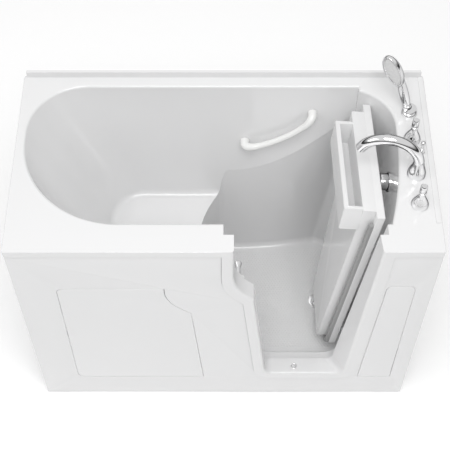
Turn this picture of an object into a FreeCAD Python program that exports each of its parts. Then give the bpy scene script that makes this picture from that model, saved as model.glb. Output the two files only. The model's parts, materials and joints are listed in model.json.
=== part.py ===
import FreeCAD, Part
import math
import os
from FreeCAD import Vector

# Tub body, all sizes in millimetres. The origin is on the floor under the middle of the tub.
tub_length = 1346.0
tub_width = 704.0
deck_height = 1016.0
shell_wall = 6.0
lip_height = 29.0
corner_round = 10.0
tile_flange_thickness = 10.0
tile_flange_rise = 25.0
end_bead_width = 14.0
end_bead_rise = 3.0
rim_round = 9.0

# Deck widths round the basin
deck_left_width = 29.0
tap_deck_width = 110.0
front_wall_depth = 106.0
back_deck_width = 40.0

# Seat and basin
seat_height = 485.0
backrest_run = 234.0
back_wall_run = 64.0
rim_round_back_left = 190.0
rim_round_front_left = 320.0
seat_round_back_left = 125.0
seat_round_front_left = 200.0
seat_edge_round = 26.0

# Foot well
floor_height = 92.0
well_beside_door = 38.0
well_back_inset = 49.0
well_seat_bulge = 171.0
well_seat_round = 425.0
end_recess_run = 111.0
end_recess_inset = 16.0
end_wall_round = 168.0
end_wall_corner_inset = 60.0
end_wall_bend_from_front = 186.0
end_wall_bend_round = 1230.0
end_wall_pad_gap = 1.0
well_back_bend_run = 344.0
well_back_round = 3600.0
well_floor_round = 24.0
well_corner_round = 40.0
sharp_round = 3.0

# Doorway
hinge_slope = 0.1
hinge_inset_x = 56.0
hinge_stand_off = 7.0
opening_from_hinge = 29.0
door_swing_gap = 37.0
shoulder_drop = 238.0
shoulder_step = 68.0
shoulder_corner_drop = 301.0
shoulder_round = 205.0
shoulder_corner_round = 12.0
left_jamb_foot = 119.0
sill_height = 167.0
sill_round = 30.0
doorway_edge_round = 11.0
rebate_edge_round = 3.0
right_jamb_splay_top = 6.0
right_jamb_splay_foot = 55.0
frame_band = 38.0
rebate_depth = 42.0
rebate_gap = 3.0
seat_overlap = 28.0
hinge_overlap = 20.0

# Door
door_gap = 7.0
door_flange_thickness = 27.0
door_plug_thickness = 42.0
door_skin = 5.0
door_edge_round = 5.0
door_open_angle = 90.0
pocket_end_margin = 49.0
pocket_from_hinge = 42.0
pocket_width = 44.0
pocket_lip = 15.0
pocket_end_wall = 12.0
pocket_height = 100.0
pocket_floor = 10.0
seal_width = 18.0
seal_inset = 1.0
seal_round = 8.5
seal_top_drop = 52.0
seal_touch_gap = 0.3

# Hinges, measured in a frame that leans with the hinge line
hinge_barrel_radius = 6.5
hinge_pin_radius = 4.0
hinge_fit = 0.05
hinge_knuckle_length = 32.0
hinge_lug_length = 20.0
hinge_play = 0.4
hinge_pad_offset = 11.0
hinge_back_plate = 3.0
hinge_bracket_reach = 24.0
hinge_leaf_length = 46.0
hinge_leaf_thickness = 3.0
hinge_upper_drop = 150.0
hinge_lower_rise = 113.0
hinge_screw_radius = 2.5
hinge_screw_head_radius = 4.5
hinge_screw_head_height = 1.5
hinge_screw_length = 12.0

# Latch
latch_offset = 52.0
latch_turn = 43.0
latch_spindle_radius = 5.0
latch_rose_radius = 14.0
latch_rose_thickness = 2.0
latch_hub_radius = 13.0
latch_cam_reach = 38.0
latch_cam_width = 12.0
latch_cam_thickness = 5.0
latch_stem_length = 26.0
latch_stem_radius = 7.0
latch_knob_radius = 14.0
latch_knob_length = 22.0
latch_fit = 0.05
latch_face_gap = 0.4
latch_collar_radius = 9.0
latch_collar_thickness = 4.0

# Apron and access panels
apron_thickness = 4.0
apron_recess = 3.0
apron_foot_gap = 6.0
apron_seam = 1.0
apron_return = 40.0
panel_gap = 2.0
panel_bottom_z = 141.0
left_panel_end_margin = 137.0
left_panel_top_drop = 228.0
left_panel_top_run = 223.0
left_panel_shoulder_run = 140.0
left_panel_shoulder_drop = 391.0
left_panel_shoulder_round = 150.0
left_panel_foot_run = 107.0
right_panel_end_margin = 61.0
right_panel_top_drop = 210.0
right_panel_strip = 9.0
panel_round = 24.0
panel_clip_size = 24.0
panel_clip_depth = 8.0

# Steel support frame
tube_side = 30.0
tube_wall = 2.0
rail_height = 40.0
frame_end_gap = 3.0
cross_rail_seat_run = 23.0
cross_rail_drain_run = 122.0
bearer_length = 220.0
door_post_clearance = 24.0
foot_pad_radius = 14.0
foot_pad_height = 12.0
foot_stud_radius = 6.0
foot_stud_reach = 12.0
foot_inset = 73.0
foot_middle_x = 100.0
foot_fit = 0.05
locknut_radius = 11.0
locknut_height = 8.0

# Waste and overflow
drain_from_end = 196.0
drain_y = -4.0
drain_flange_radius = 36.0
drain_flange_thickness = 3.0
drain_throat_radius = 25.0
drain_bore_radius = 20.0
drain_throat_depth = 22.0
drain_hub_radius = 8.0
drain_rib_width = 4.0
drain_rib_height = 6.0
drain_fit = 0.3
shoe_radius = 31.0
shoe_bottom = 26.0
tailpiece_radius = 19.05
tailpiece_bottom = 4.0
waste_bore_radius = 17.0
waste_pipe_height = 46.0
stopper_radius = 24.0
stopper_thickness = 4.0
stopper_stem_radius = 4.0
stopper_fit = 0.05
overflow_drop = 141.0
overflow_y = 10.0
overflow_plate_radius = 33.0
overflow_plate_thickness = 6.0
overflow_knob_radius = 28.0
overflow_knob_thickness = 26.0
overflow_spindle_radius = 6.0
overflow_elbow_radius = 25.0
overflow_pipe_behind = 37.0
overflow_hole_radius = 12.0
sill_drain_from_left = 227.0
sill_drain_from_front = 32.0
sill_drain_radius = 11.5
sill_drain_thickness = 2.0
sill_drain_shank_radius = 8.0
sill_drain_shank_length = 20.0
sill_drain_recess_radius = 5.0

# Grab bar on the back wall
grab_from_doorway = 43.0
grab_span = 230.0
grab_left_drop = 255.0
grab_right_drop = 119.0
grab_sag = 27.0
grab_stand_off = 34.0
grab_radius = 11.0
grab_pad_radius = 16.0
grab_pad_length = 22.0
grab_stud_radius = 4.0
grab_stud_length = 26.0
grab_nut_radius = 9.0
grab_nut_height = 6.0

# Taps on the right-hand deck
tap_from_end = 64.0
holder_y = 188.0
hot_y = 80.0
spout_y = -60.0
cold_y = -176.0
diverter_from_end = 39.0
diverter_y = 28.0
tap_hole_gap = 0.5
tap_shank_radius = 14.0
tap_nut_radius = 22.0
tap_nut_height = 8.0
tap_nut_fit = 0.1
valve_body_radius = 19.0
valve_body_drop = 54.0
valve_body_length = 40.0
inlet_radius = 10.5
inlet_length = 24.0
spindle_radius = 5.0
spindle_length = 30.0
spindle_fit = 0.05
shank_rise = 10.0
handle_base_radius = 27.0
handle_neck_radius = 9.0
handle_knob_radius = 11.0
handle_bell_height = 56.0
handle_height = 100.0
handle_edge = 3.0
handle_clear = 0.4
handle_hollow_radius = 17.0
mixing_pipe_radius = 8.0
spout_tube_radius = 16.5
spout_base_radius = 29.0
spout_base_height = 70.0
spout_riser = 52.0
spout_first_bend = 102.0
spout_first_angle = 90.0
spout_second_bend = 89.0
spout_second_angle = 66.0
spout_tip_length = 8.0
spout_bore_radius = 9.0
spout_bore_depth = 14.0
spout_swivel = 170.0
diverter_collar_radius = 9.0
diverter_collar_height = 8.0
diverter_rod_radius = 3.0
diverter_rod_length = 44.0
diverter_ball_radius = 8.0
diverter_body_radius = 10.0
diverter_body_length = 50.0
diverter_fit = 0.05

# Hand shower and its holder
holder_radius = 25.0
holder_height = 26.0
holder_slope_left = 0.33
holder_slope_back = 0.27
holder_bore_radius = 14.0
shower_fit = 0.4
shower_foot_radius = 11.0
shower_grip_radius = 15.0
shower_neck_radius = 12.0
shower_grip_length = 106.0
shower_head_length = 130.0
shower_head_width = 64.0
shower_head_back = 20.0
shower_rim_depth = 9.0
shower_head_tilt = 8.0
shower_face_inset = 7.0
shower_face_thickness = 3.0
shower_grip_share = 0.55
shower_head_forward = 14.0
shower_tail_radius = 8.0
shower_tail_share = 0.33
shower_aim_slope_front = 1.2
shower_aim_slope_up = 0.3

# Derived places
half_length = tub_length / 2
front_y = -tub_width / 2
back_y = tub_width / 2
deck_under = deck_height - shell_wall
basin_left_x = -half_length + deck_left_width
basin_right_x = half_length - tap_deck_width
wall_y = front_y + front_wall_depth
basin_back_y = back_y - tile_flange_thickness - back_deck_width
seat_left_x = basin_left_x + backrest_run
seat_back_y = basin_back_y - back_wall_run
hinge_x = basin_right_x - hinge_inset_x
hinge_y = wall_y + hinge_stand_off
hinge_lean = math.degrees(math.atan(hinge_slope))
opening_right_x = hinge_x - opening_from_hinge
opening_top_width = basin_back_y - hinge_y - opening_from_hinge - seat_overlap - door_swing_gap
opening_left_x = opening_right_x - opening_top_width
rebate_y = wall_y - rebate_depth
flange_outer_y = wall_y - door_flange_thickness
plug_outer_y = flange_outer_y - door_plug_thickness
apron_front_y = front_y + apron_recess
apron_back_y = apron_front_y + apron_thickness
rail_top = rail_height + tube_side
overflow_z = deck_height - overflow_drop
over_cut = 12.0
touch = 0.01
well_left_x = opening_left_x - well_beside_door
well_back_y = basin_back_y - well_back_inset
well_back_bend_x = basin_right_x - well_back_bend_run
end_recess_start_x = basin_right_x - end_recess_run
end_recess_y = basin_back_y - end_recess_inset
end_wall_corner_y = basin_back_y - end_wall_corner_inset
end_wall_bend_y = wall_y + end_wall_bend_from_front
end_wall_front_inset = hinge_inset_x - hinge_pad_offset - end_wall_pad_gap
hinge_lower_drop = (deck_height - sill_height - hinge_lower_rise) / math.cos(math.radians(hinge_lean))
drain_x = basin_right_x - drain_from_end
overflow_pipe_x = basin_right_x + overflow_pipe_behind
sill_drain_x = opening_left_x + sill_drain_from_left
grab_left_x = opening_left_x + grab_from_doorway
grab_right_x = grab_left_x + grab_span
grab_left_z = deck_height - grab_left_drop
grab_right_z = deck_height - grab_right_drop
tap_x = half_length - tap_from_end
valve_body_top = deck_height - valve_body_drop
valve_body_bottom = valve_body_top - valve_body_length
diverter_x = half_length - diverter_from_end
left_panel_left_x = -half_length + left_panel_end_margin
left_panel_top_z = deck_height - left_panel_top_drop
left_panel_top_right_x = opening_left_x - left_panel_top_run
left_panel_shoulder_x = opening_left_x - left_panel_shoulder_run
left_panel_shoulder_z = deck_height - left_panel_shoulder_drop
left_panel_foot_x = opening_left_x - left_panel_foot_run
right_panel_right_x = half_length - right_panel_end_margin
right_panel_top_z = deck_height - right_panel_top_drop
cross_rail_seat_x = well_left_x - cross_rail_seat_run
cross_rail_well_x = drain_x - cross_rail_drain_run

UP = Vector(0, 0, 1)
hinge_axis = Vector(math.sin(math.radians(hinge_lean)), 0, math.cos(math.radians(hinge_lean)))
hinge_point = Vector(hinge_x, hinge_y, deck_height)


# Outline helpers
def plan(z):
    return lambda a, b: Vector(a, b, z)


def elevation(y):
    return lambda a, b: Vector(a, y, b)


def grown(points, amounts):
    """Move each side of an anticlockwise outline outwards by its own amount."""
    count = len(points)
    lines = []
    for i in range(count):
        ax, ay = points[i]
        bx, by = points[(i + 1) % count]
        length = math.hypot(bx - ax, by - ay)
        dx = (bx - ax) / length
        dy = (by - ay) / length
        lines.append((ax + dy * amounts[i], ay - dx * amounts[i], dx, dy))
    moved = []
    for i in range(count):
        ax, ay, adx, ady = lines[i - 1]
        bx, by, bdx, bdy = lines[i]
        cross = adx * bdy - ady * bdx
        along = ((bx - ax) * bdy - (by - ay) * bdx) / cross
        moved.append((ax + adx * along, ay + ady * along))
    return moved


def rounded(points, radii, place):
    """Closed wire through an outline whose corners are arcs of the given radii, as far as they fit."""
    count = len(points)
    spots = [Vector(a, b, 0) for a, b in points]
    sides = [spots[(i + 1) % count] - spots[i] for i in range(count)]
    halves = [(-sides[i - 1]).getAngle(sides[i]) / 2 for i in range(count)]
    cuts = [radii[i] / math.tan(halves[i]) for i in range(count)]
    for i in range(count):
        j = (i + 1) % count
        room = 0.97 * sides[i].Length
        if cuts[i] + cuts[j] > room:
            longer, shorter = (i, j) if cuts[i] > cuts[j] else (j, i)
            cuts[longer] = max(room - cuts[shorter], room / 2)
            cuts[shorter] = room - cuts[longer]
    edges = []
    for i in range(count):
        j = (i + 1) % count
        back = Vector(sides[i - 1]).normalize()
        ahead = Vector(sides[i]).normalize()
        start = spots[i] - back * cuts[i]
        end = spots[i] + ahead * cuts[i]
        if radii[i] > 0:
            radius = cuts[i] * math.tan(halves[i])
            middle = (ahead - back).normalize()
            top = spots[i] + middle * (radius / math.sin(halves[i]) - radius)
            edges.append(Part.Arc(place(start.x, start.y), place(top.x, top.y),
                                  place(end.x, end.y)).toShape())
        following = spots[j] - ahead * cuts[j]
        edges.append(Part.makeLine(place(end.x, end.y), place(following.x, following.y)))
    return Part.Wire(edges)


def outward(shape):
    """The same solid with its faces turned outwards."""
    if shape.Volume < 0:
        shape.reverse()
    return shape


def tapered(first, last):
    """Solid between two like outlines, with a true flat wherever two straight sides lie in one plane."""
    faces = [Part.Face(first), Part.Face(last)]
    for near, far in zip(first.Edges, last.Edges):
        corners = [v.Point for v in near.Vertexes + far.Vertexes[::-1]]
        outline = Part.makePolygon(corners + corners[:1])
        flat = near.Curve.TypeId == "Part::GeomLine" and outline.findPlane()
        faces.append(Part.Face(outline) if flat else Part.makeRuledSurface(near, far))
    skin = Part.makeShell(faces)
    skin.sewShape()
    return Part.makeSolid(outward(skin))


def slab(points, radii, y_from, y_to):
    face = Part.Face(rounded(points, radii, elevation(y_from)))
    return outward(face.extrude(Vector(0, y_to - y_from, 0)))


def block(x_from, x_to, y_from, y_to, z_from, z_to):
    return Part.makeBox(x_to - x_from, y_to - y_from, z_to - z_from, Vector(x_from, y_from, z_from))


def rod(radius, start, direction, length):
    return Part.makeCylinder(radius, length, start, direction)


def upright(radius, x, y, z_from, z_to):
    return rod(radius, Vector(x, y, z_from), UP, z_to - z_from)


def swept_round(below, curve, above, x, y, z):
    """Solid of revolution with a smooth side through (radius, height) points, upright at its ends."""
    place = [Vector(x + r, y, z + h) for r, h in curve]
    side = Part.BSplineCurve()
    side.interpolate(Points=place, InitialTangent=UP, FinalTangent=UP)
    low = [Vector(x + r, y, z + h) for r, h in below] + [place[0]]
    high = [place[-1]] + [Vector(x + r, y, z + h) for r, h in above]
    edges = [Part.makeLine(a, b) for a, b in zip(low, low[1:])] + [side.toShape()]
    edges += [Part.makeLine(a, b) for a, b in zip(high, high[1:])]
    edges.append(Part.makeLine(high[-1], low[0]))
    return outward(Part.Face(Part.Wire(edges)).revolve(Vector(x, y, z), UP, 360))


def edges_where(shape, test):
    return [e for e in shape.Edges if test(e)]


def level(edge, z):
    return all(abs(v.Z - z) < touch for v in edge.Vertexes)


def along_sill(edge, y, drop):
    return level(edge, sill_height - drop) and all(abs(v.Y - y) < touch for v in edge.Vertexes)


def fused(shapes):
    return shapes[0].multiFuse(shapes[1:]).removeSplitter()


def save(name, shape):
    if isinstance(shape, list):
        shape = Part.makeCompound(shape)
    assert shape.isValid(), name
    shape.exportStep("parts/" + name + ".step")
    print(name, len(shape.Solids), "solids", round(shape.Volume / 1000), "cm3")


def at_hinge(shape, drop):
    """Carry a piece from the leaning hinge frame to its place, drop below deck level."""
    shape = shape.copy()
    shape.translate(Vector(0, 0, -drop))
    shape.rotate(Vector(0, 0, 0), Vector(0, 1, 0), hinge_lean)
    shape.translate(hinge_point)
    return shape


def opened(shape):
    """A door piece, modelled shut, at the open position of rest."""
    shape = shape.copy()
    shape.rotate(hinge_point, hinge_axis, -door_open_angle)
    return shape


# Basin: a sloped bowl over the seat, and the deep foot well beside the door
def mix(a, b, share):
    return a + (b - a) * share


def bowl_section(z, grow):
    share = (deck_height - z) / (deck_height - seat_height)
    left = mix(basin_left_x, seat_left_x, share)
    back = mix(basin_back_y, seat_back_y, share)
    points = [(left, wall_y), (end_recess_start_x, wall_y), (end_recess_start_x, back), (left, back)]
    front_left = mix(rim_round_front_left, seat_round_front_left, share)
    back_left = mix(rim_round_back_left, seat_round_back_left, share)
    radii = [front_left + grow, 0, 0, back_left + grow]
    return rounded(grown(points, [grow] * 4), radii, plan(z))


def bowl(grow, top):
    bottom = seat_height - grow
    return tapered(bowl_section(bottom, grow), bowl_section(top, grow))


def well_section(z, grow):
    shift = -hinge_slope * (deck_height - z)
    right = basin_right_x + shift
    points = [
        (well_left_x, wall_y),
        (right - end_wall_front_inset, wall_y),
        (right, end_wall_bend_y),
        (right, end_wall_corner_y),
        (end_recess_start_x + shift, end_recess_y),
        (well_back_bend_x + shift / 2, well_back_y),
        (well_left_x, well_back_y),
        (well_left_x - well_seat_bulge, (wall_y + well_back_y) / 2),
    ]
    corner = well_corner_round + grow
    radii = [corner, 0, end_wall_bend_round + grow, end_wall_round + grow,
             corner, well_back_round, corner, well_seat_round + grow]
    return rounded(grown(points, [grow] * 8), radii, plan(z))


def well(grow, top):
    bottom = floor_height - grow
    return tapered(well_section(bottom, grow), well_section(top, grow))


def soft_bottom(solid, z, radius):
    return solid.makeFillet(radius, edges_where(solid, lambda e: level(e, z)))


above_deck = deck_height + over_cut
bowl_void = soft_bottom(bowl(0, above_deck), seat_height, seat_edge_round)
well_void = soft_bottom(well(0, above_deck), floor_height, well_floor_round)
basin_void = fused([bowl_void, well_void])


# Doorway outline, seen from the front, anticlockwise from the top left
def opening_points(right_top, right_foot):
    sill_right = opening_right_x - hinge_slope * (deck_height - sill_height)
    return [
        (opening_left_x, above_deck),
        (opening_left_x, deck_height - shoulder_drop),
        (opening_left_x + shoulder_step, deck_height - shoulder_corner_drop),
        (opening_left_x + left_jamb_foot, sill_height),
        (sill_right + right_foot, sill_height),
        (opening_right_x + hinge_slope * over_cut + right_top, above_deck),
    ]


def opening_radii(grow):
    return [sharp_round, shoulder_round + grow, shoulder_corner_round, sill_round + grow,
            sill_round + grow, sharp_round]


inner_opening = opening_points(0, 0)
front_opening = opening_points(right_jamb_splay_top, right_jamb_splay_foot)


def door_outline(grow, hinge_side):
    """Inner doorway outline grown by one amount, and by another along the hinge side."""
    return grown(inner_opening, [grow, grow, grow, grow, hinge_side, 0])


def front_outline(grow):
    return grown(front_opening, [grow, grow, grow, grow, grow, 0])


def door_slab(grow, hinge_side, y_from, y_to):
    return slab(door_outline(grow, hinge_side), opening_radii(grow), y_from, y_to)


def doorway_tunnel(grow, y_front, y_inner):
    front = rounded(front_outline(grow), opening_radii(grow), elevation(y_front))
    inner = rounded(door_outline(grow, grow), opening_radii(grow), elevation(y_inner))
    return tapered(front, inner)


rebate_grow = seat_overlap + rebate_gap
rebate_hinge_grow = hinge_overlap + 2 * rebate_gap
below_deck = block(-tub_length, tub_length, -tub_length, tub_length, 0, deck_height)
opening_void = doorway_tunnel(0, front_y - over_cut, rebate_y + shell_wall)
rebate_void = door_slab(rebate_grow, rebate_hinge_grow, rebate_y, wall_y + over_cut)


# Latch place: on the inner wall, outside the curved shoulder of the door
shoulder_turn = math.atan2(shoulder_step, shoulder_corner_drop - shoulder_drop)
shoulder_centre_x = opening_left_x + shoulder_round
shoulder_centre_z = deck_height - shoulder_drop + shoulder_round * math.tan(shoulder_turn / 2)
latch_angle = math.radians(180 + latch_turn)
latch_x = shoulder_centre_x + (shoulder_round + latch_offset) * math.cos(latch_angle)
latch_z = shoulder_centre_z + (shoulder_round + latch_offset) * math.sin(latch_angle)
latch_point = Vector(latch_x, wall_y, latch_z)
INWARDS = Vector(0, 1, 0)

# Overflow place and the normal of the sloping end wall
end_wall_normal = Vector(-math.cos(math.radians(hinge_lean)), 0, math.sin(math.radians(hinge_lean)))
bend_sag = (overflow_y - (end_wall_bend_y + end_wall_corner_y) / 2) ** 2 / (2 * end_wall_bend_round)
overflow_point = Vector(basin_right_x - hinge_slope * overflow_drop - bend_sag, overflow_y, overflow_z)

# Hinge places along the leaning hinge line
hinge_drops = {"upper": hinge_upper_drop, "lower": hinge_lower_drop}
hinge_length = hinge_knuckle_length + 2 * (hinge_lug_length + hinge_play)
bracket_screw_y = hinge_bracket_reach - hinge_barrel_radius - 2 * hinge_screw_radius
bracket_screw_heights = (-hinge_length / 4, hinge_length / 4)

grab_studs = [(grab_left_x, grab_left_z), (grab_right_x, grab_right_z)]


def back_wall_y(z):
    return basin_back_y - back_wall_run * (deck_height - z) / (deck_height - seat_height)


# Moulded tub shell: deck, lips, basin skin and doorway skin
def deck_with_lips():
    deck = block(-half_length, half_length, front_y, back_y, deck_height - lip_height, deck_height)
    deck = deck.makeFillet(corner_round, edges_where(deck, lambda e: abs(e.Length - lip_height) < touch))
    top_front = edges_where(deck, lambda e: level(e, deck_height))
    deck = deck.makeFillet(shell_wall / 2, top_front)
    under = block(-half_length + shell_wall, half_length - shell_wall, front_y + shell_wall,
                  back_y - tile_flange_thickness, 0, deck_under)
    flange = block(-half_length + corner_round, half_length - corner_round,
                   back_y - tile_flange_thickness, back_y, deck_under, deck_height + tile_flange_rise)
    bead = block(half_length - shell_wall - end_bead_width, half_length - shell_wall,
                 wall_y, back_y - tile_flange_thickness, deck_under, deck_height + end_bead_rise)
    return fused([deck.cut(under), flange, bead])


def hinge_pad():
    height = hinge_length
    pad = block(hinge_pad_offset, hinge_pad_offset + 2 * shell_wall, -hinge_stand_off,
                hinge_bracket_reach - hinge_barrel_radius, -height / 2, height / 2)
    return [at_hinge(pad, drop) for drop in hinge_drops.values()]


def bracket_screw_holes(radius):
    holes = []
    for drop in hinge_drops.values():
        for height in bracket_screw_heights:
            start = Vector(hinge_pad_offset - hinge_back_plate, bracket_screw_y, height)
            holes.append(at_hinge(rod(radius, start, Vector(1, 0, 0), hinge_screw_length), drop))
    return holes


def on_rim(edge):
    box = edge.BoundBox
    inside = box.XMin > basin_left_x - shell_wall and box.XMax < basin_right_x + shell_wall
    inside = inside and box.YMin > wall_y - shell_wall and box.YMax < basin_back_y + shell_wall
    return inside and level(edge, deck_height)


def tub_shell():
    skins = fused([bowl(shell_wall, deck_height), well(shell_wall, deck_height)])
    tunnel = doorway_tunnel(shell_wall, front_y, rebate_y)
    face = slab(front_outline(frame_band), opening_radii(frame_band), front_y, front_y + shell_wall)
    rebate = door_slab(rebate_grow + shell_wall, rebate_hinge_grow + shell_wall,
                       rebate_y - shell_wall, wall_y)
    doorway = fused([tunnel, face, rebate]).common(below_deck)
    outer = fused([deck_with_lips(), skins, doorway] + hinge_pad())
    shell = outer.cut(basin_void.cut(fused(hinge_pad())))
    shell = shell.makeFillet(rim_round, edges_where(shell, on_rim))
    shell = shell.cut(fused([opening_void, rebate_void]))
    outer_edge = edges_where(shell, lambda e: along_sill(e, front_y, 0))
    shell = shell.makeFillet(doorway_edge_round, outer_edge)
    inner_edge = edges_where(shell, lambda e: along_sill(e, wall_y, rebate_grow))
    shell = shell.makeFillet(rebate_edge_round, inner_edge)
    holes = [upright(tap_shank_radius + tap_hole_gap, tap_x, y, deck_under - over_cut, above_deck)
             for y in (holder_y, hot_y, spout_y, cold_y)]
    holes.append(upright(diverter_body_radius + tap_hole_gap, diverter_x, diverter_y,
                         deck_under - over_cut, above_deck))
    holes.append(upright(drain_throat_radius + drain_fit, drain_x, drain_y,
                         floor_height - 2 * shell_wall, floor_height + shell_wall))
    holes.append(upright(sill_drain_shank_radius + tap_hole_gap, sill_drain_x,
                         front_y + sill_drain_from_front, sill_height - 2 * shell_wall,
                         sill_height + shell_wall))
    holes.append(rod(latch_spindle_radius + latch_fit, latch_point - INWARDS * 2 * shell_wall,
                     INWARDS, 3 * shell_wall))
    holes.append(rod(overflow_hole_radius, overflow_point - end_wall_normal * 3 * shell_wall,
                     end_wall_normal, 6 * shell_wall))
    for x, z in grab_studs:
        holes.append(rod(grab_stud_radius + tap_hole_gap / 5, Vector(x, back_wall_y(z) - shell_wall, z),
                         INWARDS, 4 * shell_wall))
    for hole in holes + bracket_screw_holes(hinge_screw_radius):
        shell = shell.cut(hole)
    return shell


# Front apron with its two service openings, and the panels that close them
def left_panel_outline(grow):
    points = [
        (left_panel_left_x, panel_bottom_z),
        (left_panel_foot_x, panel_bottom_z),
        (left_panel_shoulder_x, left_panel_shoulder_z),
        (left_panel_top_right_x, (left_panel_top_z + left_panel_shoulder_z) / 2),
        (left_panel_top_right_x, left_panel_top_z),
        (left_panel_left_x, left_panel_top_z),
    ]
    radii = [panel_round, sharp_round, shoulder_corner_round, left_panel_shoulder_round,
             sharp_round, panel_round]
    return grown(points, [grow] * 6), radii


def beside_frame(z):
    """Where the right-hand panel starts, a strip of apron away from the doorway frame."""
    edge = front_outline(frame_band + right_panel_strip)
    low, high = edge[4], edge[5]
    return mix(low[0], high[0], (z - low[1]) / (high[1] - low[1]))


def right_panel_outline(grow):
    points = [
        (beside_frame(panel_bottom_z), panel_bottom_z),
        (right_panel_right_x, panel_bottom_z),
        (right_panel_right_x, right_panel_top_z),
        (beside_frame(right_panel_top_z), right_panel_top_z),
    ]
    return grown(points, [grow] * 4), [sharp_round, sharp_round, panel_round, panel_round]


def front_apron():
    left = -half_length + frame_end_gap
    right = half_length - frame_end_gap
    top = deck_height - lip_height - apron_seam
    sheet = block(left, right, apron_front_y, apron_back_y, apron_foot_gap, top)
    inner = apron_back_y + apron_return
    ends = [block(left, left + apron_thickness, apron_front_y, inner, apron_foot_gap, top),
            block(right - apron_thickness, right, apron_front_y, inner, apron_foot_gap, top)]
    seam = frame_band + apron_seam
    doorway = slab(front_outline(seam), opening_radii(seam),
                   apron_front_y - over_cut, apron_back_y + over_cut)
    cuts = [doorway]
    for outline in (left_panel_outline, right_panel_outline):
        points, radii = outline(panel_gap)
        cuts.append(slab(points, radii, apron_front_y - over_cut, apron_back_y + over_cut))
    return fused([sheet] + ends).cut(fused(cuts))


def access_panel(outline):
    points, radii = outline(0)
    return slab(points, radii, apron_front_y, apron_back_y)


def panel_clips():
    """Spring clips behind the seams, each bearing on a panel and on the apron."""
    half = panel_clip_size / 2
    left_middle_x = (left_panel_left_x + left_panel_top_right_x) / 2
    right_clip_x = right_panel_right_x - panel_clip_size
    places = [
        (left_middle_x, left_panel_top_z),
        (left_middle_x, panel_bottom_z),
        (left_panel_left_x, (left_panel_top_z + panel_bottom_z) / 2),
        (right_clip_x, right_panel_top_z),
        (right_clip_x, panel_bottom_z),
    ]
    return [block(x - half, x + half, apron_back_y, apron_back_y + panel_clip_depth, z - half, z + half)
            for x, z in places]


# Welded steel frame under the deck
def square_tube(x_from, x_to, y_from, y_to, z_from, z_to, along):
    outer = block(x_from, x_to, y_from, y_to, z_from, z_to)
    w = [0 if along == axis else tube_wall for axis in "xyz"]
    inner = block(x_from + w[0], x_to - w[0], y_from + w[1], y_to - w[1], z_from + w[2], z_to - w[2])
    return outer.cut(inner)


frame_left = -half_length + frame_end_gap + apron_thickness
frame_right = half_length - frame_end_gap - apron_thickness
frame_front = apron_back_y
frame_back = back_y - tile_flange_thickness
door_post_left_x = opening_left_x - rebate_grow - shell_wall - door_post_clearance - tube_side
door_post_right_x = opening_right_x + right_jamb_splay_top + frame_band + door_post_clearance / 2
foot_places = [(x, y)
               for x in (frame_left + foot_inset, foot_middle_x, frame_right - foot_inset)
               for y in (frame_front + tube_side / 2, frame_back - tube_side / 2)]


def along_rail(y_from):
    rail = square_tube(frame_left, frame_right, y_from, y_from + tube_side, rail_height, rail_top, "x")
    return rail.cut(fused(foot_holes()))


def foot_holes():
    return [upright(foot_stud_radius + foot_fit, x, y, rail_height - over_cut, rail_height + over_cut)
            for x, y in foot_places]


def cross_rail(x_from):
    return square_tube(x_from, x_from + tube_side, frame_front + tube_side, frame_back - tube_side,
                       rail_height, rail_top, "y")


def leg(x_from, y_from):
    return square_tube(x_from, x_from + tube_side, y_from, y_from + tube_side, rail_top,
                       deck_under - tube_side, "z")


def top_rail(x_from, x_to, y_from):
    return square_tube(x_from, x_to, y_from, y_from + tube_side, deck_under - tube_side, deck_under, "x")


def floor_bearers():
    return [block(x, x + tube_side, -bearer_length / 2, bearer_length / 2, rail_top,
                  floor_height - shell_wall)
            for x in (cross_rail_seat_x, cross_rail_well_x)]


def levelling_feet():
    feet = []
    for x, y in foot_places:
        pad = upright(foot_pad_radius, x, y, 0, foot_pad_height)
        stud = upright(foot_stud_radius, x, y, 0, rail_height + tube_wall + foot_stud_reach)
        feet.append(fused([pad, stud]))
    return feet


def foot_locknuts():
    nuts = []
    for x, y in foot_places:
        nut = upright(locknut_radius, x, y, rail_height - locknut_height, rail_height)
        nuts.append(nut.cut(upright(foot_stud_radius + foot_fit, x, y, 0, rail_top)))
    return nuts


# Door, modelled shut
def door_plug():
    body = door_slab(-door_gap, -door_gap, plug_outer_y, flange_outer_y).common(below_deck)
    front = edges_where(body, lambda e: abs(e.BoundBox.YMax - plug_outer_y) < touch)
    body = body.makeFillet(door_edge_round, front)
    hollow = door_slab(-door_gap - door_skin, -door_gap - door_skin, plug_outer_y + door_skin,
                       flange_outer_y)
    hollow = hollow.common(block(-tub_length, tub_length, -tub_length, tub_length, 0,
                                 deck_height - door_skin))
    x_to = hinge_x - pocket_from_hinge
    x_from = opening_left_x + door_gap + pocket_end_margin
    y_from = plug_outer_y - pocket_width - pocket_lip
    z_from = deck_height - pocket_height
    box = block(x_from, x_to, y_from, plug_outer_y + door_skin / 2, z_from, deck_height)
    rim = edges_where(box, lambda e: abs(e.BoundBox.YMax - y_from) < touch)
    box = box.makeFillet(door_edge_round, rim)
    pocket = block(x_from + pocket_end_wall, x_to - pocket_end_wall, y_from + pocket_lip,
                   plug_outer_y, z_from + pocket_floor, above_deck)
    return fused([body.cut(hollow), box.cut(pocket)])


def leaf_screw_places():
    """Screw places on a hinge leaf, measured back from the hinge line."""
    return [(-hinge_leaf_length * share, height) for share in (0.45, 0.8)
            for height in bracket_screw_heights]


def leaf_screws(radius, head):
    screws = []
    for drop in hinge_drops.values():
        for x, height in leaf_screw_places():
            top = -hinge_stand_off + hinge_leaf_thickness
            shank = rod(radius, Vector(x, top, height), Vector(0, -1, 0), hinge_screw_length)
            if head:
                cap = rod(hinge_screw_head_radius, Vector(x, top, height), INWARDS,
                          hinge_screw_head_height)
                shank = fused([shank, cap])
            screws.append(at_hinge(shank, drop))
    return screws


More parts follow.
